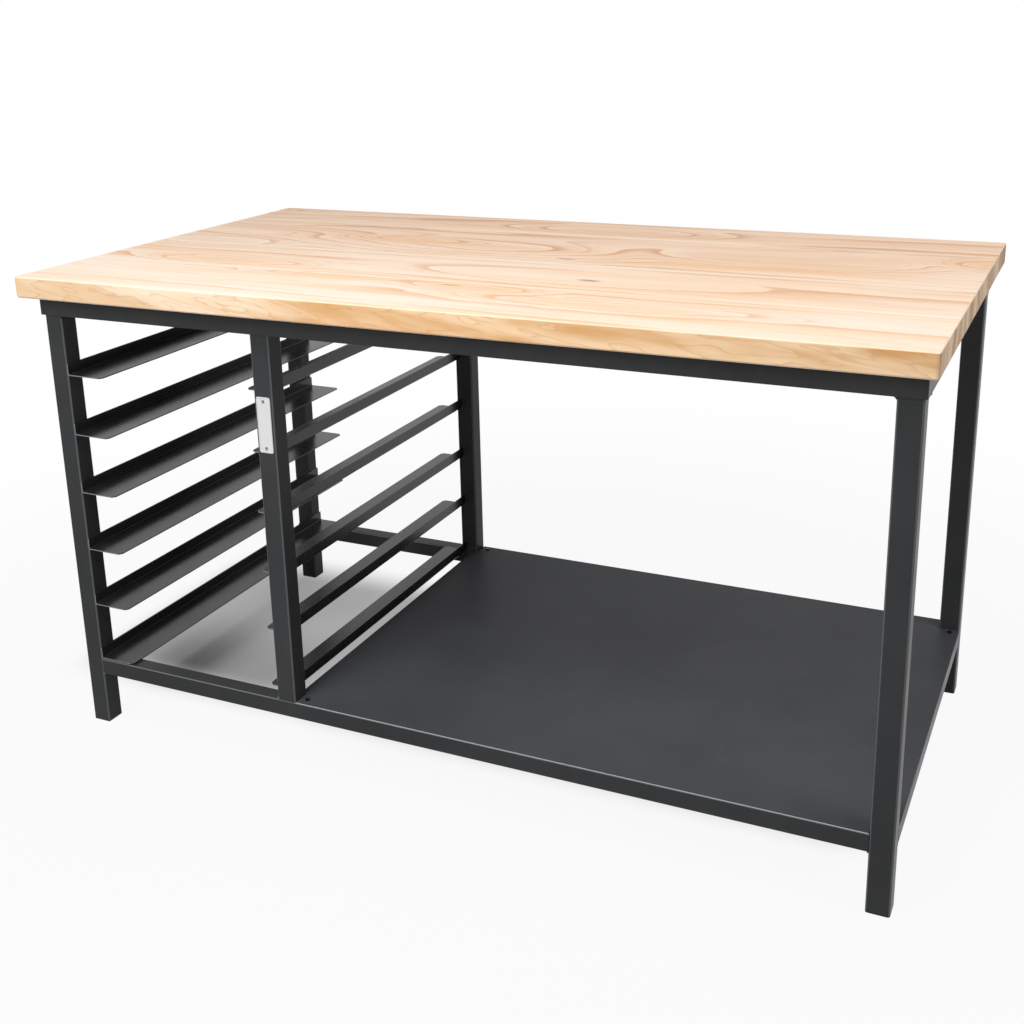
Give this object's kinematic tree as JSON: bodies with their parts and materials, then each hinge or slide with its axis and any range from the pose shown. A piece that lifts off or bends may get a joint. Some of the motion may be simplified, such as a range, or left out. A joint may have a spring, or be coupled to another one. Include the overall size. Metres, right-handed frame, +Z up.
{
  "type": "work table",
  "caption": "Free-standing work table: thick wooden worktop on a black square-tube frame with a rack of tray slides in one bay and a sheet shelf in the other.",
  "frame": {"origin": "on the floor under the middle of the worktop", "axes": "+X along the length to the right, +Y from front to back, +Z up"},
  "size_m": [1.59, 0.87, 0.9],
  "materials": {
    "wood": "satin oiled softwood",
    "frame_coat": "satin black powder coat",
    "slide_coat": "satin black powder coat on sheet",
    "shelf_sheet": "satin black powder coat on sheet",
    "foot_plastic": "black moulded",
    "badge": "bare brushed plate",
    "bright_steel": "zinc plated",
    "black_steel": "black oxide"
  },
  "bodies": {
    "root": {"worktop": "wood", "shelf": "shelf_sheet", "shelf_stiffener": "shelf_sheet", "badge_plate": "badge", "badge_rivets": "bright_steel", "shelf_screws": "black_steel", "worktop_screws": "bright_steel", "top_rail_front": "frame_coat", "top_rail_rear": "frame_coat", "top_rail_left": "frame_coat", "top_rail_right": "frame_coat", "top_cross_rail": "frame_coat", "leg_front_left": "frame_coat", "leg_front_right": "frame_coat", "leg_rear_left": "frame_coat", "leg_rear_right": "frame_coat", "middle_post_front": "frame_coat", "middle_post_rear": "frame_coat", "lower_rail_front": "frame_coat", "lower_rail_rear": "frame_coat", "lower_rail_left": "frame_coat", "lower_rail_right": "frame_coat", "tray_slide_left_1": "slide_coat", "tray_slide_right_1": "slide_coat", "tray_slide_left_2": "slide_coat", "tray_slide_right_2": "slide_coat", "tray_slide_left_3": "slide_coat", "tray_slide_right_3": "slide_coat", "tray_slide_left_4": "slide_coat", "tray_slide_right_4": "slide_coat", "tray_slide_left_5": "slide_coat", "tray_slide_right_5": "slide_coat", "tray_slide_left_6": "slide_coat", "tray_slide_right_6": "slide_coat", "foot_front_left": "foot_plastic", "foot_front_right": "foot_plastic", "foot_rear_left": "foot_plastic", "foot_rear_right": "foot_plastic"}
  },
  "joints": []
}
